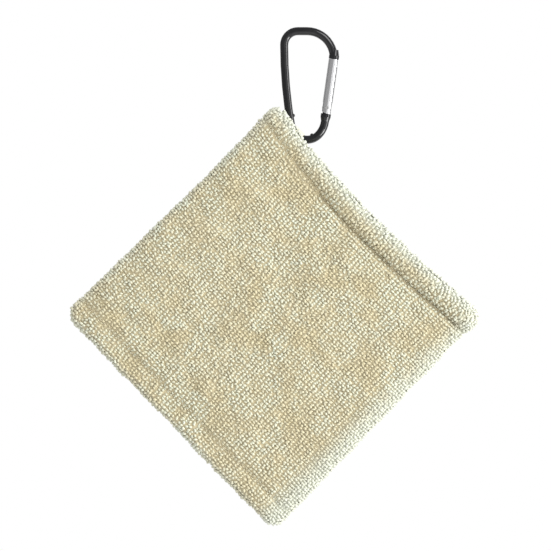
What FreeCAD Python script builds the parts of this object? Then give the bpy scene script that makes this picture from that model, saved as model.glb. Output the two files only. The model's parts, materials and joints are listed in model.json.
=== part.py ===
import FreeCAD, Part
import math
import os

# Pocket golf towel on a spring-gate clip, hung from the clip. Millimetres, +Z up.
# The origin is on the underside of the clip's top bar, where the clip hangs on a hook, ring or belt loop.
# The towel is a square pouch of looped cloth that hangs by one corner. Its face looks along -Y, and its
# open mouth is the edge that slopes down from the clip to the right.

V = FreeCAD.Vector

# Clip: one round bar bent into a D, seen from the front in X and Z
rod_d = 4.1
collar_d = 5.1
shoulder_r = 13.35
shoulder_x = 2.05
corner_r = 6.85
corner_x = -2.6
spine_r = 234.7
heel_r = 8.0
foot_r = 11.75
foot_centre = (-0.65, -41.9)
pip_d = 1.9
pip_rise = 0.65
pip_height_on_spine = -40.6
pip_bearing_on_heel = 293.0

# Gate: a hollow bar that swings inward on a rivet
gate_d = 4.9
gate_tilt = 8.0
gate_top = 24.65
gate_bottom = 2.9
gate_heel_r = 2.85
nose_face = 24.84
hinge_face = 3.05
collar_length = 1.7
collar_taper = 3.0
collar_taper_d = 3.6
rivet_d = 1.6
rivet_length = 5.2
rivet_height = -36.5
running_gap = 0.05
slot_width = 2.0
tongue_thick = 1.7
hinge_slot_depth = 2.6
cam_r = 1.8
cam_offset = 0.55
nose_tongue = (-1.2, 2.2, 3.2)
nose_slot_depth = 3.8

# Spring and plunger inside the gate
bore_d = 2.5
bore_start = 1.0
bore_end = 13.0
plunger_length = 3.2
plunger_lift = 0.04
spring_d = 2.1
spring_wire = 0.35
spring_pitch = 1.0

# Towel: its own axes run down the mouth edge (u), square to that into the towel (v), and back (w)
towel_slope = 46.0
towel_u = 150.0
towel_v = 148.0
corner_rounding = 7.0
loop_u = 17.0
loop_v = 2.0
back_face = -4.0
hem_rise = 2.0
panel_thick = 3.0
pocket_gap = 5.0
mouth_hem = 11.0
bottom_hem = 10.5
bottom_hem_thick = 8.0
seam_width = 6.0
fold_width = 8.0

# Stitches
stitch_d = 0.6
stitch_length = 2.4
stitch_pitch = 3.4

# Loop of tape round the clip
tape_width = 6.0
tape_thick = 0.9
tape_inside_r = 2.8
tape_tip = 11.0
tape_eye_tip = 6.5
tape_eye_tip_r = 0.3
tack_distance = 9.0
tack_d = 2.4

# Levels through the towel, front to back along w
back_inner = back_face - hem_rise - panel_thick
front_inner = back_inner - pocket_gap
front_panel_face = front_inner - panel_thick
back_panel_face = back_face - hem_rise
front_face = front_panel_face - hem_rise


def flat(x, z):
    """A point in the clip's plane."""
    return V(x, 0, z)


def bearing(start, end):
    """The direction from one point to another in the clip's plane, in degrees from +X towards +Z."""
    return math.degrees(math.atan2(end.z - start.z, end.x - start.x)) % 360


def on_circle(centre, radius, degrees):
    angle = math.radians(degrees)
    return centre + radius * flat(math.cos(angle), math.sin(angle))


def line(start, end):
    return Part.LineSegment(start, end).toShape()


def lowest_meeting(centre_a, radius_a, centre_b, radius_b):
    """The lower of the two points where circles about a and b cross."""
    span = (centre_b - centre_a).Length
    along = (radius_a**2 - radius_b**2 + span**2) / (2 * span)
    across = math.sqrt(radius_a**2 - along**2)
    unit = (centre_b - centre_a) / span
    side = flat(unit.z, -unit.x)
    meetings = [centre_a + unit * along + side * across * way for way in (1, -1)]
    return min(meetings, key=lambda p: p.z)


# Centres of the clip's bends
shoulder = flat(shoulder_x, rod_d / 2 - shoulder_r)
corner = flat(corner_x, rod_d / 2 - corner_r)
spine = flat(corner_x - corner_r + spine_r, corner.z)
foot = flat(*foot_centre)
heel = lowest_meeting(foot, foot_r - heel_r, spine, spine_r - heel_r)

# Where the gate turns, and the line that it stands on
gate_line = on_circle(V(0, 0, 0), 1, 90 - gate_tilt)
foot_end = on_circle(foot, foot_r, -gate_tilt)
pivot = foot_end + gate_line * ((rivet_height - foot_end.z) / gate_line.z)
gate_place = FreeCAD.Placement(pivot, FreeCAD.Rotation(V(0, 1, 0), gate_tilt))

# Where the loop of tape hangs on the clip, and the towel's own axes
mouth_way = on_circle(V(0, 0, 0), 1, -towel_slope)
inward_way = on_circle(V(0, 0, 0), 1, -towel_slope - 90)
loop_centre = heel + inward_way * heel_r
towel_corner = loop_centre - mouth_way * loop_u - inward_way * loop_v
towel_place = FreeCAD.Placement(
    FreeCAD.Matrix(
        mouth_way.x, inward_way.x, 0, towel_corner.x,
        0, 0, 1, 0,
        mouth_way.z, inward_way.z, 0, towel_corner.z,
        0, 0, 0, 1,
    )
)


def placed(shape, place):
    """A shape moved from its own axes into the object's."""
    moved = shape.copy()
    moved.Placement = place.multiply(moved.Placement)
    return moved


def block(low, high):
    """A box between two corners."""
    low = V(*low)
    size = V(*high) - low
    return Part.makeBox(size.x, size.y, size.z, low)


def rod(diameter, start, end, way=V(0, 0, 1), at=V(0, 0, 0)):
    """A round bar along a direction, from one distance to another."""
    return Part.makeCylinder(diameter / 2, end - start, at + way * start, way)


# Clip


def bend(centre, radius, start, end):
    """The bar round an arc from one bearing to another."""
    way = on_circle(V(0, 0, 0), 1, start + 90)
    circle = Part.Circle(on_circle(centre, radius, start), way, rod_d / 2)
    section = Part.Face(Part.Wire(circle.toShape()))
    return section.revolve(centre, V(0, -1, 0), end - start)


def straight_bar(start, end):
    way = end - start
    return Part.makeCylinder(rod_d / 2, way.Length, start, way)


def bent_bar():
    """The clip's bar, from its nose over the top and down round the foot to the hinge."""
    spine_end = bearing(spine, heel)
    heel_end = bearing(foot, heel)
    hinge_end = pivot - gate_line * hinge_face
    nose = bend(shoulder, shoulder_r, 0, 90)
    return nose.fuse([
        straight_bar(on_circle(shoulder, shoulder_r, 90), on_circle(corner, corner_r, 90)),
        bend(corner, corner_r, 90, 180),
        bend(spine, spine_r, 180, spine_end),
        bend(heel, heel_r, spine_end, heel_end),
        bend(foot, foot_r, heel_end, 360 - gate_tilt),
        straight_bar(foot_end, hinge_end),
    ])


def swollen_end(face, way):
    """A collar on the gate's line: full width at its face, tapering into the bar."""
    up = V(0, 0, 1) * way
    start = V(0, 0, face)
    straight = Part.makeCylinder(collar_d / 2, collar_length, start, up)
    shoulder_at = start + up * collar_length
    taper = Part.makeCone(collar_d / 2, collar_taper_d / 2, collar_taper, shoulder_at, up)
    return straight.fuse(taper)


def hinge_tongue():
    """The flat tongue inside the gate's foot: its round cam stands off the rivet and lifts the plunger."""
    half = tongue_thick / 2
    neck = block((-cam_r, -half, -hinge_face - 1), (cam_r, half, 0))
    cam = Part.makeCylinder(cam_r, tongue_thick, V(-cam_offset, -half, 0), V(0, 1, 0))
    hole = Part.makeCylinder(rivet_d / 2 + running_gap, tongue_thick, V(0, -half, 0), V(0, 1, 0))
    return neck.fuse(cam).cut(hole)


def nose_catch():
    """The flat tongue on the nose, which the gate's slotted tip closes over."""
    low, high, length = nose_tongue
    half = tongue_thick / 2
    return block((low, -half, nose_face - length), (high, half, nose_face + 1))


def pip(centre, radius, degrees):
    """A small bump on the inner side of a bend, which keeps the towel's loop in its place."""
    surface = radius - rod_d / 2
    return Part.makeSphere(pip_d / 2, on_circle(centre, surface - pip_rise + pip_d / 2, degrees))


def clip_body():
    ends = swollen_end(nose_face, 1).fuse([swollen_end(-hinge_face, -1), hinge_tongue(), nose_catch()])
    sine = (pip_height_on_spine - spine.z) / spine_r
    spine_pip = pip(spine, spine_r, 180 - math.degrees(math.asin(sine)))
    heel_pip = pip(heel, heel_r, pip_bearing_on_heel)
    return bent_bar().fuse([placed(ends, gate_place), spine_pip, heel_pip]).removeSplitter()


def gate_outline():
    """What the gate may fill: square below on its outer side, rounded about the rivet on its inner side."""
    reach = gate_d
    above = block((-reach, -reach, 0), (reach, reach, gate_top))
    outer = block((0, -reach, -gate_bottom), (reach, reach, 0))
    heel_round = Part.makeCylinder(gate_heel_r, 2 * reach, V(0, -reach, 0), V(0, 1, 0))
    return above.fuse([outer, heel_round])


def gate_sleeve():
    half = slot_width / 2
    low, high, length = nose_tongue
    bar = rod(gate_d, -gate_bottom, gate_top).common(gate_outline())
    hinge_slot = block((-gate_d, -half, -gate_d), (gate_d, half, hinge_slot_depth))
    nose_slot = block((low - running_gap, -half, gate_top - nose_slot_depth), (gate_d, half, gate_top))
    rivet_hole = rod(rivet_d, -gate_d, gate_d, V(0, 1, 0))
    bore = rod(bore_d, bore_start, bore_end)
    return placed(bar.cut([hinge_slot, nose_slot, rivet_hole, bore]), gate_place)


def hinge_rivet():
    half = rivet_length / 2
    return placed(rod(rivet_d, -half, half, V(0, 1, 0)), gate_place)


def gate_plunger():
    start = cam_r + plunger_lift
    return placed(rod(bore_d - 2 * running_gap, start, start + plunger_length), gate_place)


def gate_spring():
    """A coil of wire between the plunger and the end of the bore."""
    start = cam_r + plunger_lift + plunger_length + spring_wire
    height = bore_end - spring_wire - start
    mean_r = (spring_d - spring_wire) / 2
    coil = Part.makeHelix(spring_pitch, height, mean_r)
    section = Part.Wire(Part.Circle(V(mean_r, 0, 0), V(0, 1, 0), spring_wire / 2).toShape())
    wire = Part.Wire(coil).makePipeShell([section], True, True)
    wire.translate(V(0, 0, start))
    return placed(wire, gate_place)


# Loop of tape


def teardrop(big_r, tip_r, tip_v, tip_w):
    """A face in v and w: a circle about the clip's bar drawn out to a small round tip."""
    across = math.hypot(tip_v, tip_w)
    lean = math.atan2(tip_w, tip_v)
    spread = math.acos((big_r - tip_r) / across)

    def rim(centre, radius, angle):
        return V(0, centre[0] + radius * math.cos(angle), centre[1] + radius * math.sin(angle))

    bar_side = [rim((0, 0), big_r, a) for a in (lean + spread, lean + math.pi, lean - spread)]
    tip_side = [rim((tip_v, tip_w), tip_r, a) for a in (lean - spread, lean, lean + spread)]
    edges = [
        Part.Arc(*bar_side).toShape(),
        line(bar_side[-1], tip_side[0]),
        Part.Arc(*tip_side).toShape(),
        line(tip_side[-1], bar_side[0]),
    ]
    return Part.Face(Part.Wire(edges))


def loop_tape():
    """Tape round the bar, its two ends brought together and laid flat on the towel's back."""
    outside_r = tape_inside_r + tape_thick
    outside = teardrop(outside_r, tape_thick, tape_tip, tape_thick - outside_r)
    eye = teardrop(tape_inside_r, tape_eye_tip_r, tape_eye_tip, tape_eye_tip_r - tape_inside_r)
    band = outside.cut(eye).extrude(V(tape_width, 0, 0))
    hole_r = tack_d / 2 + running_gap
    hole = Part.makeCylinder(hole_r, 2 * outside_r, V(tape_width / 2, tack_distance, -outside_r))
    band = band.cut(hole)
    band.translate(V(loop_u - tape_width / 2, loop_v, 0))
    return placed(band, towel_place)


def loop_bar_tack():
    """The round block of thread that sews the tape to the mouth hem."""
    height = 2 * tape_thick + 0.6
    at = V(loop_u, loop_v + tack_distance, back_face)
    return placed(Part.makeCylinder(tack_d / 2, height, at), towel_place)


# Towel


def rounded_square():
    """The towel's outline, as tall as the towel is thick."""
    sheet = block((0, 0, front_face), (towel_u, towel_v, back_face))
    edges = [e for e in sheet.Edges if abs(e.tangentAt(e.FirstParameter).z) > 0.9]
    return sheet.makeFillet(corner_rounding, edges)


def trimmed(shape):
    """A piece of the towel cut to the rounded outline and put in its place."""
    return placed(shape.common(rounded_square()), towel_place)


def softened(shape, radius, ways):
    """A piece with the edges that run along the given axes rounded."""
    edges = []
    for edge in shape.Edges:
        run = edge.tangentAt(edge.FirstParameter)
        if any(abs(getattr(run, way)) > 0.9 for way in ways):
            edges.append(edge)
    return shape.makeFillet(radius, edges)


def panel(inner, face):
    """One layer of cloth between the hems and the closed sides."""
    low, high = sorted((inner, face))
    near = seam_width
    far = towel_u - fold_width
    return trimmed(block((near, mouth_hem, low), (far, towel_v - bottom_hem, high)))


def mouth_roll(inner, face):
    """The thick turned hem along one lip of the mouth."""
    low, high = sorted((inner, face))
    roll = block((0, 0, low), (towel_u, mouth_hem, high))
    return trimmed(softened(roll, 2.2, "x"))


def side_seam():
    """The closed side under the corner that hangs: both layers brought together."""
    between = block((0, 0, front_inner), (seam_width, towel_v, back_inner))
    full = block((0, mouth_hem, front_panel_face), (seam_width, towel_v, back_panel_face))
    return trimmed(between.fuse(full))


def side_fold():
    """The side where the cloth turns from the front layer to the back one."""
    middle = (front_inner + back_inner) / 2
    depth = (back_panel_face - front_panel_face) / 2
    start = towel_u - fold_width
    square = fold_width - depth
    core = block((start, mouth_hem, middle - depth), (start + square, towel_v, middle + depth))
    roll = Part.makeCylinder(depth, towel_v - mouth_hem, V(start + square, mouth_hem, middle), V(0, 1, 0))
    lips = block((start, 0, front_inner), (towel_u - corner_rounding / 4, mouth_hem, back_inner))
    beyond = block((0, 0, front_face), (start, towel_v, back_face))
    return trimmed(core.fuse([roll, lips]).cut(beyond))


def closed_hem():
    """The band along the closed lower side, both layers sewn flat."""
    middle = (front_inner + back_inner) / 2
    half = bottom_hem_thick / 2
    low = (seam_width, towel_v - bottom_hem, middle - half)
    high = (towel_u - fold_width, towel_v, middle + half)
    return trimmed(softened(block(low, high), 2.2, "x"))


def stitch_row(v, face, way):
    """A row of separate stitches lying on a face, which looks along way in w."""
    start = seam_width + stitch_pitch
    count = int((towel_u - fold_width - stitch_pitch - start) / stitch_pitch)
    centre = face + way * stitch_d / 2
    stitches = []
    for place in range(count):
        at = V(start + place * stitch_pitch, v, centre)
        stitches.append(Part.makeCylinder(stitch_d / 2, stitch_length, at, V(1, 0, 0)))
    return placed(Part.makeCompound(stitches), towel_place)


mouth_row = mouth_hem + stitch_d
bottom_row = towel_v - bottom_hem - stitch_d

nodes = {
    "clip_body": clip_body(),
    "gate_sleeve": gate_sleeve(),
    "hinge_rivet": hinge_rivet(),
    "gate_plunger": gate_plunger(),
    "gate_spring": gate_spring(),
    "loop_tape": loop_tape(),
    "loop_bar_tack": loop_bar_tack(),
    "front_panel": panel(front_inner, front_panel_face),
    "back_panel": panel(back_inner, back_panel_face),
    "mouth_hem_front": mouth_roll(front_inner, front_face),
    "mouth_hem_back": mouth_roll(back_inner, back_face),
    "side_seam": side_seam(),
    "side_fold": side_fold(),
    "bottom_hem": closed_hem(),
    "mouth_stitching_front": stitch_row(mouth_row, front_panel_face, -1),
    "mouth_stitching_back": stitch_row(mouth_row, back_panel_face, 1),
    "bottom_stitching_front": stitch_row(bottom_row, front_panel_face, -1),
    "bottom_stitching_back": stitch_row(bottom_row, back_panel_face, 1),
}

os.makedirs("parts", exist_ok=True)
for name, shape in nodes.items():
    shape.exportStep(f"parts/{name}.step")
    box = shape.BoundBox
    low = (round(box.XMin, 2), round(box.YMin, 2), round(box.ZMin, 2))
    high = (round(box.XMax, 2), round(box.YMax, 2), round(box.ZMax, 2))
    print(name, shape.isValid(), len(shape.Solids), round(shape.Volume, 2), low, high)

for label, spot in (("pivot", pivot), ("gate_line", gate_line), ("loop_centre", loop_centre)):
    print(label, round(spot.x, 4), round(spot.z, 4))
for label, spot in (("mouth_way", mouth_way), ("towel_corner", towel_corner), ("heel", heel)):
    print(label, round(spot.x, 4), round(spot.z, 4))
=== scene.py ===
"""A pocket golf towel of looped terry cloth, hung by its corner from a spring-gate clip."""

import json
import math
from collections import namedtuple

import bmesh
import bpy
from mathutils import Matrix, Vector, noise


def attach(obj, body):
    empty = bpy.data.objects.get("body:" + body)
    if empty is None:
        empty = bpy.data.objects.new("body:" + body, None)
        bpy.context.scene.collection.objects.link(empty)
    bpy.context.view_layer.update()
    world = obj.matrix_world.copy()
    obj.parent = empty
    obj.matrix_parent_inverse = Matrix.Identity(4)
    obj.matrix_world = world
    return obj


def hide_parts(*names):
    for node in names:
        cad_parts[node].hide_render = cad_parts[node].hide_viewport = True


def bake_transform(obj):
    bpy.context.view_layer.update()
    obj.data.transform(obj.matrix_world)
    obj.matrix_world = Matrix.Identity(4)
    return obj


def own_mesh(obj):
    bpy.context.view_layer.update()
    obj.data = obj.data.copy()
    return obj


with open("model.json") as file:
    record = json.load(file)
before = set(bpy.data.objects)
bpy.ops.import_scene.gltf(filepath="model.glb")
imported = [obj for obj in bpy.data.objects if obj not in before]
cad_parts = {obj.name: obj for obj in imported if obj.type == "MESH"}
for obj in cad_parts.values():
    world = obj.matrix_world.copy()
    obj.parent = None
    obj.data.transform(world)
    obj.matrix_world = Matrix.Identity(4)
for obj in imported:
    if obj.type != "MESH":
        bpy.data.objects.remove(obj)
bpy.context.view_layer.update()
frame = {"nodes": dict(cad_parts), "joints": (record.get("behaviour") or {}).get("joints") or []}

MM = 0.001
joints = {joint["name"]: joint for joint in frame["joints"]}

# The towel's own axes: u down the mouth edge, v square to it into the towel, w towards the back.
loop_u = 17.0
loop_v = 2.0
mouth_way = Vector(joints["loop_turn"]["axis"]).normalized()
inward_way = Vector((0, 1, 0)).cross(mouth_way)
loop_centre = Vector(joints["loop_turn"]["pos_m"])
towel_corner = loop_centre - MM * (loop_u * mouth_way + loop_v * inward_way)
towel_axes = Matrix((mouth_way, inward_way, Vector((0, 1, 0)))).transposed().to_4x4()
towel_place = Matrix.Translation(towel_corner) @ towel_axes @ Matrix.Scale(MM, 4)

# Cloth sizes in millimetres
towel_width = 150.0
towel_length = 148.0
towel_middle = -11.5
cloth_pitch = 2.5
bend_crowding = 0.75
corner_round = 6.0
seam_round = 3.2
fold_round = 9.0
closed_round = 2.6
least_round = 0.5
panel_half = 4.2
pocket_half = 3.4
face_flatness = 0.85

# The outline, as distances from the towel's own axes and how far each edge strays from straight
seam_line = 0.9
seam_tuck = 2.6
seam_tuck_reach = 32
fold_line = 147.2
fold_spread = 0.037
fold_cap = 1.6
fold_cap_middle = 6
fold_cap_width = 7
mouth_sag = 1.6
mouth_droop = 3.5
mouth_top = 60
mouth_spread = 72
mouth_tuck = 2.4
mouth_tuck_reach = 16

# The turned mouth hem and the closed edge's band
hem_turn = 11.5
hem_swell = 2.2
hem_middle = 5.5
hem_width = 5.6
hem_room = 0.6
lip_round = 2.4
band_thinning = 0.9
band_start = 14.4
band_full = 8.4

# The stitched grooves: where they run, and how wide and deep they are
mouth_groove = 12.6
groove_drift = 2.2
drift_span = (62, 30)
groove_hem_side = 2.0
groove_panel_side = 1.3
mouth_groove_depth = 2.3
shallow_share = 0.32
shallow_span = (15, 60)
bottom_groove = 10.4
bottom_groove_width = 1.6
bottom_groove_depth = 0.5

# Unevenness of the cloth: each ripple's size, height and layer of noise
ripples = ((30, 1.0, 0), (12, 0.9, 9), (5, 0.45, 0))
back_drift = 60.0
foot_calm_span = (0, 6)
hem_calm_span = (6, 16)
hem_calm_share = 0.35
seam_thinning = 0.34
seam_thinning_reach = 9

# Where painted light pales the yarn along the edges, as distances along u or from an edge
painted_light_fold_span = (136, 148)
painted_light_mouth_span = (7, 1)
painted_light_seam_span = (5, 1)
painted_light_foot_span = (4, 1)
painted_light_seam_foot_share = 0.5

# Pile loops: yarn and arch radii in millimetres, and how much taller than wide an arch is
pile_height = 1.3
rib_pitch = 2.1
loop_pitch = 1.45
hem_pitch = 1.1
loop_sides = 5
loop_steps = 6
yarn_round = 0.59
loop_arch = 0.43
loop_tallness = 1.25
smallest_loop = (0.8, 0.85, 0.75)
largest_loop = (1.2, 1.25, 1.25)
ruffled_lean = (0.5, 0.5, 1.57)
ruffled_near = 0.45
even_lean = (0.45, 0.45, 0.9)
even_near = 0.3
pressed_width = 1.1
mouth_press = 0.55
bottom_press = 0.25
pile_bands = 5
hem_overlap = 0.6

# Gate spring sizes in millimetres, measured up the gate from its hinge
spring_wire = 0.35
spring_round = 0.875
spring_start = 5.39
spring_length = 7.26
spring_pitch = 1.0
gate_tilt = math.radians(8)

# Sewing and tape sizes in millimetres, and turns in radians
stitch_thread = 0.26
stitch_arc = 2.1
stitch_turn = 1.25
stitch_count = 40
stitch_lift = 0.35
stitch_margin = 0.03
tape_width = 6.0
tape_thick = 0.9
tape_slack = 0.12
tape_soft_edge = 0.2
tape_round = 3.25
tape_turn = math.radians(207)
tape_tail_step = 0.6
tack_stitches = 9
tack_length = 2.6
tack_face = -1.9
tack_reach = 9.0
tack_lean = 0.12
tack_lift = 0.12
tack_stretch = (1.5, 0.6, 0.8, 1)

Row = namedtuple("Row", "s half inside")


def smooth(low, high, value):
    """0 below low, 1 above high and an even change between them."""
    share = min(max((value - low) / (high - low), 0.0), 1.0)
    return share * share * (3 - 2 * share)


def bump(distance, width):
    """1 at no distance, falling evenly to nothing on both sides."""
    return math.exp(-((distance / width) ** 2))


def wander(size, x, y, layer=0.0):
    """A number that drifts between about -1 and 1 over this many millimetres; far layers drift unlike."""
    return noise.noise(Vector((x, y, layer)) / size)


def corner_inset(distance):
    """How far a side moves in at this distance from the edge that it meets, to round the corner."""
    short = max(corner_round - distance, 0.0)
    return corner_round - math.sqrt(corner_round**2 - short**2)


def seam_edge(s):
    """The seam's own edge, drawn outwards towards the corner that hangs."""
    ends = corner_inset(s) + corner_inset(towel_length - s)
    tuck = seam_tuck * math.exp(-s / seam_tuck_reach)
    return seam_line - tuck + pile_height + ends + 0.35 * wander(9, s, 3.0)


def fold_edge(s):
    """The fold spreads a little towards the foot, and the hem stands out past it at the mouth."""
    ends = 0.6 * corner_inset(s) + corner_inset(towel_length - s)
    cap = fold_cap * bump(s - fold_cap_middle, fold_cap_width)
    return fold_line + fold_spread * s + cap - pile_height - ends + 0.4 * wander(11, s, 40.0)


def mouth_edge(u):
    """The mouth sags a little between the corner that hangs and the far one."""
    sag = mouth_sag - mouth_droop * ((u - mouth_top) / mouth_spread) ** 2
    return sag - mouth_tuck * bump(u, mouth_tuck_reach) + pile_height + 0.25 * wander(13, u, 7.0)


def bottom_edge(u):
    """The closed edge wavers a little."""
    return towel_length - pile_height + 0.5 * wander(9, u, 21.0) + 0.25 * wander(4, u, 33.0)


def outside_half(s):
    """Half the pouch's thickness at this distance from the mouth, away from its sides and its grooves."""
    from_foot = towel_length - s
    swell = hem_swell * bump(s - hem_middle, hem_width)
    band = band_thinning * smooth(band_start, band_full, from_foot)
    return panel_half + swell - band


def mouth_line(u):
    """How far from the mouth its stitching runs: a little nearer towards the corner that hangs."""
    return mouth_groove - groove_drift * smooth(*drift_span, u)


def bottom_line(u):
    """The closed edge's stitching runs straight across."""
    return towel_length - bottom_groove


def groove_at(u, s):
    """How far the stitching pulls the cloth in: a hem leans over its own groove, deepest at the far end."""
    past = s - mouth_line(u)
    mouth = bump(past, groove_hem_side if past < 0 else groove_panel_side)
    grown = shallow_share + (1 - shallow_share) * smooth(*shallow_span, u)
    low = bump(towel_length - s - bottom_groove, bottom_groove_width)
    return mouth_groove_depth * grown * mouth + bottom_groove_depth * low


def evenly(start, end, pitch):
    """Places from start up to, but not at, end."""
    count = max(round(abs(end - start) / pitch), 1)
    return [start + (end - start) * k / count for k in range(count)]


def turn_stations(low, high, reach, rise, pitch, parts=90):
    """Angles from low up to, but not at, high that are even steps along a bend this wide and this deep."""
    fine = [low + (high - low) * k / parts for k in range(parts + 1)]
    travelled = [0.0]
    for angle in fine[1:]:
        step = math.hypot(reach * math.cos(angle), rise * math.sin(angle)) * (high - low) / parts
        travelled.append(travelled[-1] + step)
    count = max(round(travelled[-1] / pitch), 3)
    goals = [travelled[-1] * k / count for k in range(count)]
    return [fine[min(range(parts + 1), key=lambda k: abs(travelled[k] - goal))] for goal in goals]


def rows_of(pitch):
    """Rows from the hem's turned-in edge over its lip to the closed hem. Each holds its distance from the
    mouth, half the pouch's thickness there, and how far inside the lip it is, from 0 to 1."""
    lip_half = outside_half(lip_round)
    middle = (lip_half + pocket_half) / 2
    swing = (lip_half - pocket_half) / 2
    rows = [Row(s, pocket_half, 1.0) for s in evenly(hem_turn, lip_round, pitch)]
    for angle in turn_stations(0, math.pi, lip_round, swing, pitch):
        rows.append(Row(
            lip_round - lip_round * math.sin(angle),
            middle - swing * math.cos(angle),
            (1 + math.cos(angle)) / 2,
        ))
    closed = towel_length - closed_round
    rows += [Row(s, outside_half(s), 0.0) for s in evenly(lip_round, closed, pitch)]
    edge_half = outside_half(closed)
    for angle in turn_stations(0, math.pi / 2, closed_round, edge_half, pitch) + [math.pi / 2]:
        rows.append(Row(closed + closed_round * math.sin(angle), edge_half * math.cos(angle), 0.0))
    return rows


def columns_of(pitch):
    """Columns once round the pouch: (share of the way across, angle turned from the front)."""
    across = evenly(0, 1, pitch / (towel_width - seam_round - fold_round))
    crowded = bend_crowding * pitch
    columns = [(share, 0.0) for share in across]
    columns += [(1.0, angle) for angle in turn_stations(0, math.pi, fold_round, panel_half, crowded)]
    columns += [(1.0 - share, math.pi) for share in across]
    columns += [
        (0.0, angle) for angle in turn_stations(math.pi, 2 * math.pi, seam_round, panel_half, crowded)
    ]
    return columns + [(0.0, 2 * math.pi)]


def cloth_point(row, column):
    """A point of the cloth in the towel's own axes, in millimetres."""
    s, half, inside = row
    across, angle = column
    inset = inside * (lip_round + hem_room)
    turned = math.sin(angle)
    facing = math.cos(angle)
    low = seam_edge(s) + seam_round
    high = fold_edge(s) - fold_round
    side = fold_round if across == 1.0 else seam_round
    u = low + (high - low) * across + max(side - inset, least_round) * turned
    from_seam = max(u - seam_edge(s), 0)
    thin = 1 - seam_thinning * math.exp(-from_seam / seam_thinning_reach) * (1 - inside)
    layer = 0.0 if facing > 0 else back_drift
    ripple = sum(height * wander(size, u, s, layer + own) for size, height, own in ripples)
    past_hem = hem_calm_share + (1 - hem_calm_share) * smooth(*hem_calm_span, s)
    calm = smooth(*foot_calm_span, towel_length - s) * (1 - inside) * past_hem
    bulge = half * thin + ripple * calm - groove_at(u, s) * (1 - inside)
    level = math.copysign(abs(facing) ** face_flatness, facing) * bulge
    top = mouth_edge(u)
    v = top + s * (bottom_edge(u) - top) / towel_length
    return Vector((u, v, towel_middle - level))


def mesh_object(name, bm, material=None):
    """A finished object from a bmesh, smooth shaded and placed by its own vertices."""
    mesh = bpy.data.meshes.new(name)
    bm.to_mesh(mesh)
    bm.free()
    for face in mesh.polygons:
        face.use_smooth = True
    if material:
        mesh.materials.append(material)
    made = bpy.data.objects.new(name, mesh)
    bpy.context.scene.collection.objects.link(made)
    return made


def pouch(rows, columns):
    """The cloth over these rows and columns, in the towel's own axes."""
    bm = bmesh.new()
    wide = len(columns) - 1
    tall = len(rows) - 1
    bmesh.ops.create_grid(bm, x_segments=wide, y_segments=tall, size=0.5)
    for vert in bm.verts:
        column = columns[round((vert.co.x + 0.5) * wide)]
        row = rows[round((vert.co.y + 0.5) * tall)]
        vert.co = cloth_point(row, column)
    return bm


def cloth_spot(share, s, back=False):
    """A place that stands on the front or back of the cloth, at a share of its width: x along the mouth,
    y square to it in the cloth and z out of the cloth, in millimetres."""
    angle = math.pi if back else 0.0
    share_step = 0.004
    side_step = 0.5
    row = Row(s, outside_half(s), 0.0)
    at = cloth_point(row, (share, angle))
    ahead = cloth_point(row, (share + share_step, angle)) - at
    side = cloth_point(row._replace(s=s + side_step), (share, angle)) - at
    out = Vector((0, 0, 1 if back else -1))
    along = ahead.normalized()
    across = (side - side.project(along)).normalized()
    if along.cross(across).dot(out) < 0:
        across = -across
    axes = Matrix((along, across, along.cross(across))).transposed().to_4x4()
    return Matrix.Translation(at) @ axes


# Materials


class Value:
    """A node's output in a material, whose sums and products add Math nodes."""

    def __init__(self, finish, socket):
        self.finish = finish
        self.socket = socket

    def maths(self, operation, first, second):
        return self.finish.add("ShaderNodeMath", {"operation": operation}, {0: first, 1: second})

    def __add__(self, other):
        return self.maths("ADD", self, other)

    def __mul__(self, other):
        return self.maths("MULTIPLY", self, other)

    __radd__ = __add__
    __rmul__ = __mul__


class Finish:
    """A material under construction, with one method that adds a node of any kind."""

    def __init__(self, name, **surface):
        self.material = bpy.data.materials.new(name)
        self.material.use_nodes = True
        self.tree = self.material.node_tree
        self.shader = self.tree.nodes["Principled BSDF"]
        self.set(**surface)

    def feed(self, socket, value):
        """Links a node's output to the socket, or gives the socket a plain value."""
        if isinstance(value, Value):
            self.tree.links.new(value.socket, socket)
        else:
            socket.default_value = value

    def set(self, **surface):
        """Sets or links the shader's sockets, named in small letters with underscores."""
        for name, value in surface.items():
            self.feed(self.shader.inputs[name.replace("_", " ").title().replace("Ior", "IOR")], value)

    def add(self, kind, settings, inputs, output=0):
        """A node with its settings and inputs, as the value of one of its outputs."""
        node = self.tree.nodes.new(kind)
        for name, value in settings.items():
            setattr(node, name, value)
        for key, value in inputs.items():
            self.feed(node.inputs[key], value)
        return Value(self, node.outputs[output])

    def marked(self, name):
        """What the mesh keeps under this name."""
        return self.add("ShaderNodeAttribute", {"attribute_name": name}, {}, "Fac")

    def place(self, stretch=(1, 1, 1), turn=(0, 0, 0)):
        """Object coordinates in millimetres, stretched along their axes."""
        own = self.add("ShaderNodeTexCoord", {}, {}, "Object")
        scale = [1000 * share for share in stretch]
        return self.add("ShaderNodeMapping", {}, {"Vector": own, "Scale": scale, "Rotation": turn})

    def cloud(self, size, detail=2.0, place=None):
        """Soft noise whose patches are about this many millimetres across."""
        where = place or self.place()
        return self.add("ShaderNodeTexNoise", {}, {"Vector": where, "Scale": 1 / size, "Detail": detail})

    def blend(self, share, first, second):
        """The first colour at a share of 0 and the second at 1."""
        return self.add("ShaderNodeMix", {"data_type": "RGBA"}, {0: share, 6: first, 7: second}, 2)

    def stretch_range(self, value, low, high):
        """The value between low and high spread over 0 to 1."""
        return self.add("ShaderNodeMapRange", {}, {0: value, 1: low, 2: high, 3: 0.0, 4: 1.0})

    def dent(self, height, depth):
        """A Bump from this height, at most a fifth of a millimetre deep."""
        bump_inputs = {"Height": height, "Strength": depth, "Distance": 0.2 * MM}
        self.set(normal=self.add("ShaderNodeBump", {}, bump_inputs))


def colour(red, green, blue):
    return (red, green, blue, 1.0)


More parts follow.
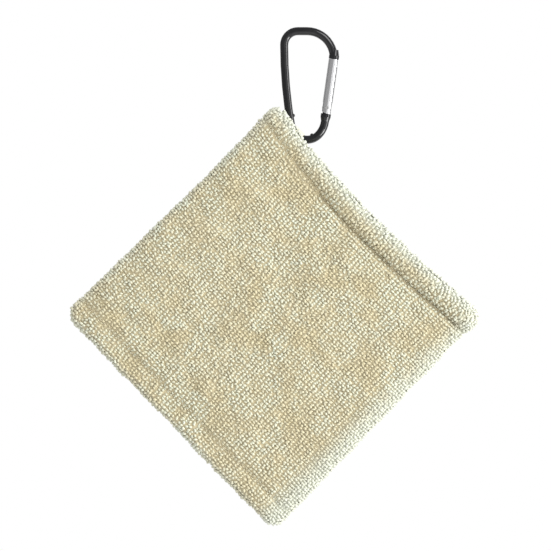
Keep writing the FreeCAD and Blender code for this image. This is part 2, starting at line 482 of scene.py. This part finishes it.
def terry_finish():
    """Undyed looped pile: pale tips, painted shade darkening the roots, patches of greener and browner yarn,
    and painted light paling the edges.
    """
    made = Finish("terry_pile", roughness=0.95, sheen_weight=0.25, sheen_roughness=0.5)
    made.set(specular_ior_level=0.1, sheen_tint=colour(0.96, 1.0, 0.94))
    tone = made.marked("tone")
    rise = made.marked("rise")
    patch = made.stretch_range(made.cloud(11.0, 3.0), 0.40, 0.60)
    broad = made.stretch_range(made.cloud(32.0, 2.0), 0.40, 0.60)
    tips = made.blend(patch, colour(0.575, 0.52, 0.345), colour(0.62, 0.64, 0.52))
    tips = made.blend(broad * 0.45, tips, colour(0.62, 0.60, 0.46))
    yarn = made.blend(tone * 0.3, tips, colour(0.48, 0.42, 0.28))
    # Painted shade: the loops are coloured darker and browner towards their roots, standing in for the shade
    # between them.
    clear_of_root_shade = made.stretch_range(rise, 0.0, 0.6)
    yarn = made.blend(clear_of_root_shade, colour(0.56, 0.50, 0.35), yarn)
    # Painted light: the yarn is coloured paler towards the edges, where light catches the fuzz.
    made.set(base_color=made.blend(made.marked("painted_edge_light") * 0.85, yarn, colour(0.60, 0.62, 0.54)))
    made.dent(made.cloud(0.22, 2.0), 0.5)
    return made.material


def ground_finish():
    """The woven ground under the pile, painted darker and browner than the pile's tips as shade between the
    loops, and paled at the edges by painted light.
    """
    made = Finish("terry_ground", roughness=0.95, specular_ior_level=0.1)
    weave = made.cloud(0.5, 2.0)
    # Painted shade: the ground's colours are darker and browner than the pile's tips, standing in for the
    # shade between the loops.
    woven = made.blend(weave, colour(0.46, 0.40, 0.25), colour(0.60, 0.53, 0.36))
    # Painted light: the ground is also coloured paler towards the edges.
    made.set(base_color=made.blend(made.marked("painted_edge_light") * 0.9, woven, colour(0.66, 0.68, 0.58)))
    made.dent(weave, 0.6)
    return made.material


def thread_finish(name, pale, deep, rib):
    """Twisted thread or woven tape, with its ribs across the run."""
    made = Finish(name, roughness=0.75, specular_ior_level=0.3, sheen_weight=0.15)
    fine = made.cloud(rib, 2.0)
    patch = made.cloud(3.0, 1.0)
    made.set(base_color=made.blend(fine * 0.7 + patch * 0.3, deep, pale))
    made.dent(fine, 0.7)
    return made.material


def black_finish():
    """Gloss black anodising with faint drawing lines and slightly duller patches."""
    made = Finish("black_anodised", specular_ior_level=0.5)
    haze = made.cloud(4.0, 4.0)
    fine = made.cloud(0.25, 2.0)
    tint = made.stretch_range(haze, 0.4, 0.75)
    made.set(base_color=made.blend(tint, colour(0.006, 0.006, 0.007), colour(0.012, 0.012, 0.013)))
    made.set(roughness=0.06 + haze * 0.04)
    made.dent(fine, 0.02)
    return made.material


def silver_finish():
    """Satin aluminium, brushed along the gate."""
    made = Finish("gate_aluminium", metallic=1.0)
    streaks = made.cloud(1.0, 3.0, made.place((6.0, 6.0, 0.18), (0, -gate_tilt, 0)))
    haze = made.cloud(3.0, 3.0)
    made.set(base_color=made.blend(streaks, colour(0.66, 0.66, 0.67), colour(0.90, 0.90, 0.91)))
    made.set(roughness=0.14 + streaks * 0.10 + haze * 0.05)
    made.dent(streaks, 0.015)
    return made.material


def steel_finish(name, shade, rough):
    """Plain steel, lighter and darker about this shade."""
    made = Finish(name, metallic=1.0)
    haze = made.cloud(0.6, 4.0)
    light = colour(shade * 1.15, shade * 1.15, shade * 1.13)
    made.set(base_color=made.blend(haze, colour(shade * 0.8, shade * 0.8, shade * 0.8), light))
    made.set(roughness=rough + haze * 0.15)
    made.dent(haze, 0.04)
    return made.material


terry = terry_finish()
ground = ground_finish()
tape_cloth = thread_finish("tape_cloth", colour(0.72, 0.70, 0.57), colour(0.54, 0.51, 0.39), 0.4)
sewing = thread_finish("sewing_thread", colour(0.78, 0.72, 0.54), colour(0.50, 0.42, 0.27), 0.15)

for node, made in (
    ("clip_body", black_finish()),
    ("gate_sleeve", silver_finish()),
    ("hinge_rivet", steel_finish("rivet_finish", 0.62, 0.25)),
    ("gate_plunger", steel_finish("plunger_finish", 0.5, 0.3)),
):
    for holder in frame["nodes"][node].material_slots:
        holder.material = made


# Gate spring


def coil_spring():
    """The coil behind the plunger, in its bore up the gate; the real coil shortens as the gate opens, this
    one keeps its length.
    """
    turns = spring_length / spring_pitch
    steps = round(turns * 16)
    bm = bmesh.new()
    bmesh.ops.create_circle(bm, cap_ends=True, segments=8, radius=spring_wire / 2)
    bmesh.ops.rotate(bm, verts=bm.verts, cent=(0, 0, 0), matrix=Matrix.Rotation(math.pi / 2, 3, "X"))
    bmesh.ops.translate(bm, verts=bm.verts, vec=(spring_round, 0, spring_start))
    ring = bm.verts[:] + bm.edges[:] + bm.faces[:]
    bmesh.ops.spin(
        bm, geom=ring, cent=(0, 0, 0), axis=(0, 0, 1), dvec=(0, 0, spring_length / steps),
        angle=turns * 2 * math.pi, steps=steps,
    )
    bmesh.ops.recalc_face_normals(bm, faces=bm.faces)
    pivot = Vector(joints["gate_hinge"]["pos_m"])
    up_gate = Matrix.Rotation(gate_tilt, 4, "Y")
    bmesh.ops.transform(
        bm, matrix=Matrix.Translation(pivot) @ up_gate @ Matrix.Scale(MM, 4), verts=bm.verts
    )
    made = mesh_object("coil_spring", bm, steel_finish("coil_finish", 0.45, 0.3))
    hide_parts("gate_spring")
    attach(made, "gate")
    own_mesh(made)


coil_spring()


# Cloth


def painted_edge_light_at(u, v):
    """How strongly painted light pales the yarn at this place, along the fold, the mouth and the other
    edges.
    """
    fold = smooth(*painted_light_fold_span, u)
    mouth = smooth(*painted_light_mouth_span, v - mouth_edge(u))
    rest = max(smooth(*painted_light_seam_span, u), smooth(*painted_light_foot_span, towel_length - v))
    return max(fold, mouth, painted_light_seam_foot_share * rest)


def mark_painted_edge_light(bm):
    """Keeps on each vertex, still in the towel's own axes, how strongly painted light pales the yarn there.
    """
    pale = bm.verts.layers.float.new("painted_edge_light")
    for vert in bm.verts:
        vert[pale] = painted_edge_light_at(vert.co.x, vert.co.y)


def towel_cloth():
    """The folded and seamed pouch of cloth, with its mouth hem turned in."""
    bm = pouch(rows_of(cloth_pitch), columns_of(cloth_pitch))
    mark_painted_edge_light(bm)
    bmesh.ops.remove_doubles(bm, verts=bm.verts, dist=0.02)
    bmesh.ops.recalc_face_normals(bm, faces=bm.faces)
    bmesh.ops.transform(bm, matrix=towel_place, verts=bm.verts)
    return mesh_object("towel_cloth", bm, ground)


def pile_loop():
    """One loop of pile: an arch of yarn that stands on the cloth."""
    bm = bmesh.new()
    bmesh.ops.create_circle(bm, segments=loop_sides, radius=yarn_round)
    bmesh.ops.translate(bm, verts=bm.verts, vec=(loop_arch, 0, 0))
    ring = bm.verts[:] + bm.edges[:]
    bmesh.ops.spin(bm, geom=ring, cent=(0, 0, 0), axis=(0, -1, 0), angle=math.pi, steps=loop_steps)
    bmesh.ops.scale(bm, verts=bm.verts, vec=(1, 1, loop_tallness))
    bmesh.ops.recalc_face_normals(bm, faces=bm.faces)
    bmesh.ops.scale(bm, verts=bm.verts, vec=(MM, MM, MM))
    top = max(vert.co.z for vert in bm.verts)
    rise = bm.verts.layers.float.new("rise")
    for vert in bm.verts:
        vert[rise] = min(max(vert.co.z / top, 0.0), 1.0)
    return mesh_object("pile_loop", bm, terry)


def wired(tree, kind, settings=None, inputs=None):
    """A geometry node with its settings, values and links."""
    node = tree.nodes.new(kind)
    for name, value in (settings or {}).items():
        setattr(node, name, value)
    for key, value in (inputs or {}).items():
        if isinstance(value, bpy.types.NodeSocket):
            tree.links.new(value, node.inputs[key])
        else:
            node.inputs[key].default_value = value
    return node


def planting(name, loop, lean, near, seed):
    """Geometry nodes that stand a loop on every vertex, each sized a little differently, turned by up to the
    angles of lean and moved by up to near."""
    tree = bpy.data.node_groups.new(name, "GeometryNodeTree")
    tree.interface.new_socket("Geometry", in_out="INPUT", socket_type="NodeSocketGeometry")
    tree.interface.new_socket("Geometry", in_out="OUTPUT", socket_type="NodeSocketGeometry")
    vector = {"data_type": "FLOAT_VECTOR"}
    ground_mesh = wired(tree, "NodeGroupInput").outputs[0]
    shift = wired(tree, "FunctionNodeRandomValue", vector, {0: [-near] * 3, 1: [near] * 3, "Seed": seed})
    shifted = wired(
        tree, "GeometryNodeSetPosition", {}, {"Geometry": ground_mesh, "Offset": shift.outputs[0]},
    )
    stand = wired(
        tree, "FunctionNodeAxesToRotation", {"primary_axis": "Z", "secondary_axis": "X"},
        {0: wired(tree, "GeometryNodeInputNormal").outputs[0], 1: list(mouth_way)},
    )
    low = [-angle for angle in lean]
    leaning = wired(tree, "FunctionNodeRandomValue", vector, {0: low, 1: list(lean), "Seed": seed + 1})
    turned = wired(
        tree, "FunctionNodeRotateRotation", {"rotation_space": "LOCAL"},
        {0: stand.outputs[0], 1: leaning.outputs[0]},
    )
    size = wired(
        tree, "FunctionNodeRandomValue", vector,
        {0: list(smallest_loop), 1: list(largest_loop), "Seed": seed + 2},
    )
    pile = wired(tree, "GeometryNodeInputNamedAttribute", {"data_type": "FLOAT"}, {"Name": "pile"})
    scaled = wired(
        tree, "ShaderNodeVectorMath", {"operation": "SCALE"},
        {0: size.outputs[0], "Scale": pile.outputs[0]},
    )
    shape = wired(tree, "GeometryNodeObjectInfo", {}, {"Object": loop}).outputs["Geometry"]
    stood = wired(
        tree, "GeometryNodeInstanceOnPoints", {},
        {
            "Points": shifted.outputs[0], "Instance": shape,
            "Rotation": turned.outputs[0], "Scale": scaled.outputs[0],
        },
    )
    tone = wired(tree, "FunctionNodeRandomValue", {"data_type": "FLOAT"}, {2: 0.0, 3: 1.0, "Seed": seed + 3})
    toned = wired(
        tree, "GeometryNodeStoreNamedAttribute", {"domain": "INSTANCE", "data_type": "FLOAT"},
        {"Geometry": stood.outputs[0], "Name": "tone", "Value": tone.outputs[1]},
    )
    loops = wired(tree, "GeometryNodeRealizeInstances", {}, {0: toned.outputs[0]})
    wired(tree, "NodeGroupOutput", {}, {0: loops.outputs[0]})
    return tree


def pile_length(row, u):
    """Shorter pile where the stitching pulls it down."""
    mouth = mouth_press * bump(row.s - mouth_line(u), pressed_width) * (1 - row.inside)
    return 1 - mouth - bottom_press * bump(towel_length - row.s - bottom_groove, pressed_width)


def pile_piece(name, rows, planted):
    """The pile on some rows of the pouch."""
    columns = columns_of(rib_pitch)[:-1]
    bm = pouch(rows, columns)
    length = bm.verts.layers.float.new("pile")
    for index, vert in enumerate(bm.verts):
        vert[length] = pile_length(rows[index // len(columns)], vert.co.x)
    mark_painted_edge_light(bm)
    bmesh.ops.recalc_face_normals(bm, faces=bm.faces)
    bmesh.ops.transform(bm, matrix=towel_place, verts=bm.verts)
    made = mesh_object(name, bm)
    grow = made.modifiers.new("grow", "NODES")
    grow.node_group = planted
    bpy.context.view_layer.update()
    graph = bpy.context.evaluated_depsgraph_get()
    grown = bpy.data.meshes.new_from_object(made.evaluated_get(graph))
    made.modifiers.clear()
    made.data = grown
    return made


def towel_pile():
    """All the loops, in bands from the mouth to the closed hem; the turned hem's are the most ruffled."""
    loop = pile_loop()
    ruffled = planting("ruffled_planting", loop, ruffled_lean, ruffled_near * MM, 3)
    even = planting("even_planting", loop, even_lean, even_near * MM, 13)
    hem_end = mouth_groove + hem_overlap
    hem = [row for row in rows_of(hem_pitch) if row.inside > 0 or row.s < hem_end]
    lip = len([row for row in hem if row.inside > 0])
    made = [
        pile_piece("pile_mouth_hem", hem[lip:], ruffled),
        pile_piece("pile_mouth_lip", hem[:lip], ruffled),
    ]
    rows = [row for row in rows_of(loop_pitch) if row.inside == 0 and row.s >= hem_end]
    size = math.ceil(len(rows) / pile_bands)
    for band in range(pile_bands):
        made.append(pile_piece(f"pile_band_{band + 1}", rows[band * size:(band + 1) * size], even))
    bpy.data.objects.remove(loop)
    return made


# Sewing and the loop of tape


def stitch_shape():
    """One stitch: a short arc of thread whose ends go down into the cloth, with its top at the origin."""
    bm = bmesh.new()
    bmesh.ops.create_circle(bm, cap_ends=True, segments=6, radius=stitch_thread)
    bmesh.ops.rotate(bm, verts=bm.verts, cent=(0, 0, 0), matrix=Matrix.Rotation(math.pi / 2, 3, "Y"))
    bmesh.ops.translate(bm, verts=bm.verts, vec=(0, 0, stitch_arc))
    bmesh.ops.rotate(
        bm, verts=bm.verts, cent=(0, 0, 0), matrix=Matrix.Rotation(-stitch_turn / 2, 3, "Y")
    )
    ring = bm.verts[:] + bm.edges[:] + bm.faces[:]
    bmesh.ops.spin(bm, geom=ring, cent=(0, 0, 0), axis=(0, 1, 0), angle=stitch_turn, steps=6)
    bmesh.ops.translate(bm, verts=bm.verts, vec=(0, 0, -stitch_arc))
    bmesh.ops.recalc_face_normals(bm, faces=bm.faces)
    shape = bpy.data.meshes.new("stitch")
    bm.to_mesh(shape)
    bm.free()
    return shape


def add_copy(bm, shape, matrix):
    """Adds the shape to the bmesh, moved by the matrix."""
    known = set(bm.verts)
    bm.from_mesh(shape)
    new = [vert for vert in bm.verts if vert not in known]
    bmesh.ops.transform(bm, matrix=matrix, verts=new)


def stitch_row(name, line, back):
    """A row of stitches lying in a groove of the cloth, whose distance from the mouth is line(u)."""
    shape = stitch_shape()
    lift = Matrix.Translation((0, 0, stitch_lift))
    bm = bmesh.new()
    for k in range(stitch_count):
        share = stitch_margin + (1 - 2 * stitch_margin) * k / (stitch_count - 1)
        spot = cloth_spot(share, line(share * towel_width), back)
        add_copy(bm, shape, towel_place @ spot @ lift)
    bpy.data.meshes.remove(shape)
    return mesh_object(name, bm, sewing)


def edges_among(items):
    return [item for item in items if isinstance(item, bmesh.types.BMEdge)]


def drawn_out(bm, edges, way, count):
    """Draws the edges out along this way, a number of times, and gives the last ones."""
    for _ in range(count):
        made = bmesh.ops.extrude_edge_only(bm, edges=edges)["geom"]
        fresh = [item for item in made if isinstance(item, bmesh.types.BMVert)]
        bmesh.ops.translate(bm, verts=fresh, vec=way)
        edges = edges_among(made)
    return edges


def tape_band():
    """Tape that goes round the clip's bar and back on itself, in its own plane: y into the towel, z out."""
    bm = bmesh.new()
    low = bm.verts.new((-tape_width / 2, 0, -tape_round))
    high = bm.verts.new((tape_width / 2, 0, -tape_round))
    edge = bm.edges.new((low, high))
    bmesh.ops.subdivide_edges(bm, edges=[edge], cuts=5)
    row = bm.verts[:] + bm.edges[:]
    turned = bmesh.ops.spin(bm, geom=row, cent=(0, 0, 0), axis=(-1, 0, 0), angle=tape_turn, steps=22)
    past_half = tape_turn - math.pi
    return_way = Vector((0, math.cos(past_half), -math.sin(past_half)))
    fall = (tape_round + tape_round * math.cos(past_half) - tape_thick) / -return_way.z
    end = drawn_out(bm, edges_among(turned["geom_last"]), return_way * fall / 6, 6)
    drawn_out(bm, end, (0, tape_tail_step, 0), 8)
    reach = max(vert.co.y for vert in bm.verts)
    drawn_out(bm, edges_among(row), (0, reach / 16, 0), 16)
    bmesh.ops.remove_doubles(bm, verts=bm.verts, dist=0.01)
    bmesh.ops.recalc_face_normals(bm, faces=bm.faces)
    return bm


def loop_of_tape():
    """The tape with its thickness and softened edges, round the clip's heel."""
    bm = tape_band()
    bmesh.ops.translate(bm, verts=bm.verts, vec=(loop_u, loop_v, 0))
    bmesh.ops.transform(bm, matrix=towel_place, verts=bm.verts)
    made = mesh_object("loop_strap", bm, tape_cloth)
    wall = made.modifiers.new("wall", "SOLIDIFY")
    wall.thickness = MM * (tape_thick - tape_slack)
    wall.offset = 0
    soft = made.modifiers.new("edges", "BEVEL")
    soft.width = MM * tape_soft_edge
    soft.segments = 2
    soft.limit_method = "ANGLE"
    return made


def bar_tack():
    """Close zigzag stitches through the tape's two layers."""
    shape = stitch_shape()
    bm = bmesh.new()
    for k in range(tack_stitches):
        along = tack_length * (k / (tack_stitches - 1) - 0.5)
        lean = Matrix.Rotation(tack_lean if k % 2 else -tack_lean, 4, "Z")
        at = Matrix.Translation((0, along, tack_lift))
        add_copy(bm, shape, at @ lean @ Matrix.Diagonal(tack_stretch))
    bpy.data.meshes.remove(shape)
    bmesh.ops.translate(bm, verts=bm.verts, vec=(loop_u, loop_v + tack_reach, tack_face))
    bmesh.ops.transform(bm, matrix=towel_place, verts=bm.verts)
    return mesh_object("tack_thread", bm, sewing)


cloth = towel_cloth()
pile = towel_pile()
rows_of_stitches = [
    stitch_row("mouth_thread_front", mouth_line, False),
    stitch_row("mouth_thread_back", mouth_line, True),
    stitch_row("bottom_thread_front", bottom_line, False),
    stitch_row("bottom_thread_back", bottom_line, True),
]
strap = loop_of_tape()
tack = bar_tack()

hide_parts("front_panel", "back_panel", "side_seam", "side_fold")
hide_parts("mouth_hem_front", "mouth_hem_back")
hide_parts("bottom_hem")
for piece, node in zip(rows_of_stitches, (
    "mouth_stitching_front", "mouth_stitching_back", "bottom_stitching_front", "bottom_stitching_back",
)):
    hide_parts(node)
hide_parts("loop_tape")
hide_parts("loop_bar_tack")

for piece in [cloth, *pile]:
    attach(piece, "towel")
for piece in [*rows_of_stitches, tack]:
    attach(piece, "towel")
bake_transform(strap)


# Camera, light and floor


def area_light(name, place, size, power):
    """A rectangular lamp that looks at the middle of the view."""
    lamp = bpy.data.lights.new(name, "AREA")
    lamp.shape = "RECTANGLE"
    lamp.size = size[0]
    lamp.size_y = size[1]
    lamp.energy = power
    made = bpy.data.objects.new(name, lamp)
    made.location = place
    made.rotation_euler = (view_centre - Vector(place)).to_track_quat("-Z", "Y").to_euler()
    bpy.context.scene.collection.objects.link(made)


view_centre = Vector((-0.01382, 0, -0.12072))
view_width = 0.27688
view_distance = 2.4
film_width = 36
lens = bpy.data.cameras.new("camera")
lens.sensor_width = film_width
lens.lens = film_width * view_distance / view_width
lens.clip_end = 50
camera = bpy.data.objects.new("camera", lens)
camera.location = view_centre + Vector((0, -view_distance, 0))
camera.rotation_euler = (math.pi / 2, 0, 0)
bpy.context.scene.collection.objects.link(camera)
bpy.context.scene.camera = camera

area_light("key_light", (0.80, -0.95, 0.85), (0.8, 0.8), 11)
area_light("front_light", (0.9, -1.9, 0.2), (1.5, 1.5), 4)
area_light("side_light", (1.22, -0.42, -0.2), (0.42, 1.2), 12)
area_light("low_light", (1.1, -0.85, -0.7), (0.35, 0.35), 6.5)
area_light("rim_light", (1.0, 1.3, 0.5), (0.9, 0.9), 4.5)

floor_level = -1.3
floor_reach = 8
bm = bmesh.new()
bmesh.ops.create_grid(bm, x_segments=2, y_segments=2, size=floor_reach)
bmesh.ops.translate(bm, verts=bm.verts, vec=(0, 0, floor_level))
pale = Finish("pale_floor", base_color=colour(0.92, 0.92, 0.92), roughness=0.6)
mesh_object("floor", bm, pale.material)

bpy.context.scene.view_settings.view_transform = "Standard"


def room_shade(sky, strength):
    """White surroundings of this brightness."""
    room = sky.nodes.new("ShaderNodeBackground")
    room.inputs["Strength"].default_value = strength
    room.inputs["Color"].default_value = (1.0, 1.0, 1.0, 1.0)
    return room


def light_room(world, seen, lighting, reflected):
    """A white room: how bright its wall looks, how much it lights, and how bright it is in gloss."""
    world.use_nodes = True
    sky = world.node_tree
    sky.nodes.remove(sky.nodes["Background"])
    path = sky.nodes.new("ShaderNodeLightPath")
    shade = room_shade(sky, lighting)
    for ray, strength in (("Is Glossy Ray", reflected), ("Is Camera Ray", seen)):
        room = room_shade(sky, strength)
        choice = sky.nodes.new("ShaderNodeMixShader")
        sky.links.new(path.outputs[ray], choice.inputs[0])
        sky.links.new(shade.outputs[0], choice.inputs[1])
        sky.links.new(room.outputs[0], choice.inputs[2])
        shade = choice
    sky.links.new(shade.outputs[0], sky.nodes["World Output"].inputs[0])


world = bpy.data.worlds.new("studio")
bpy.context.scene.world = world
light_room(world, seen=1.0, lighting=0.93, reflected=0.38)
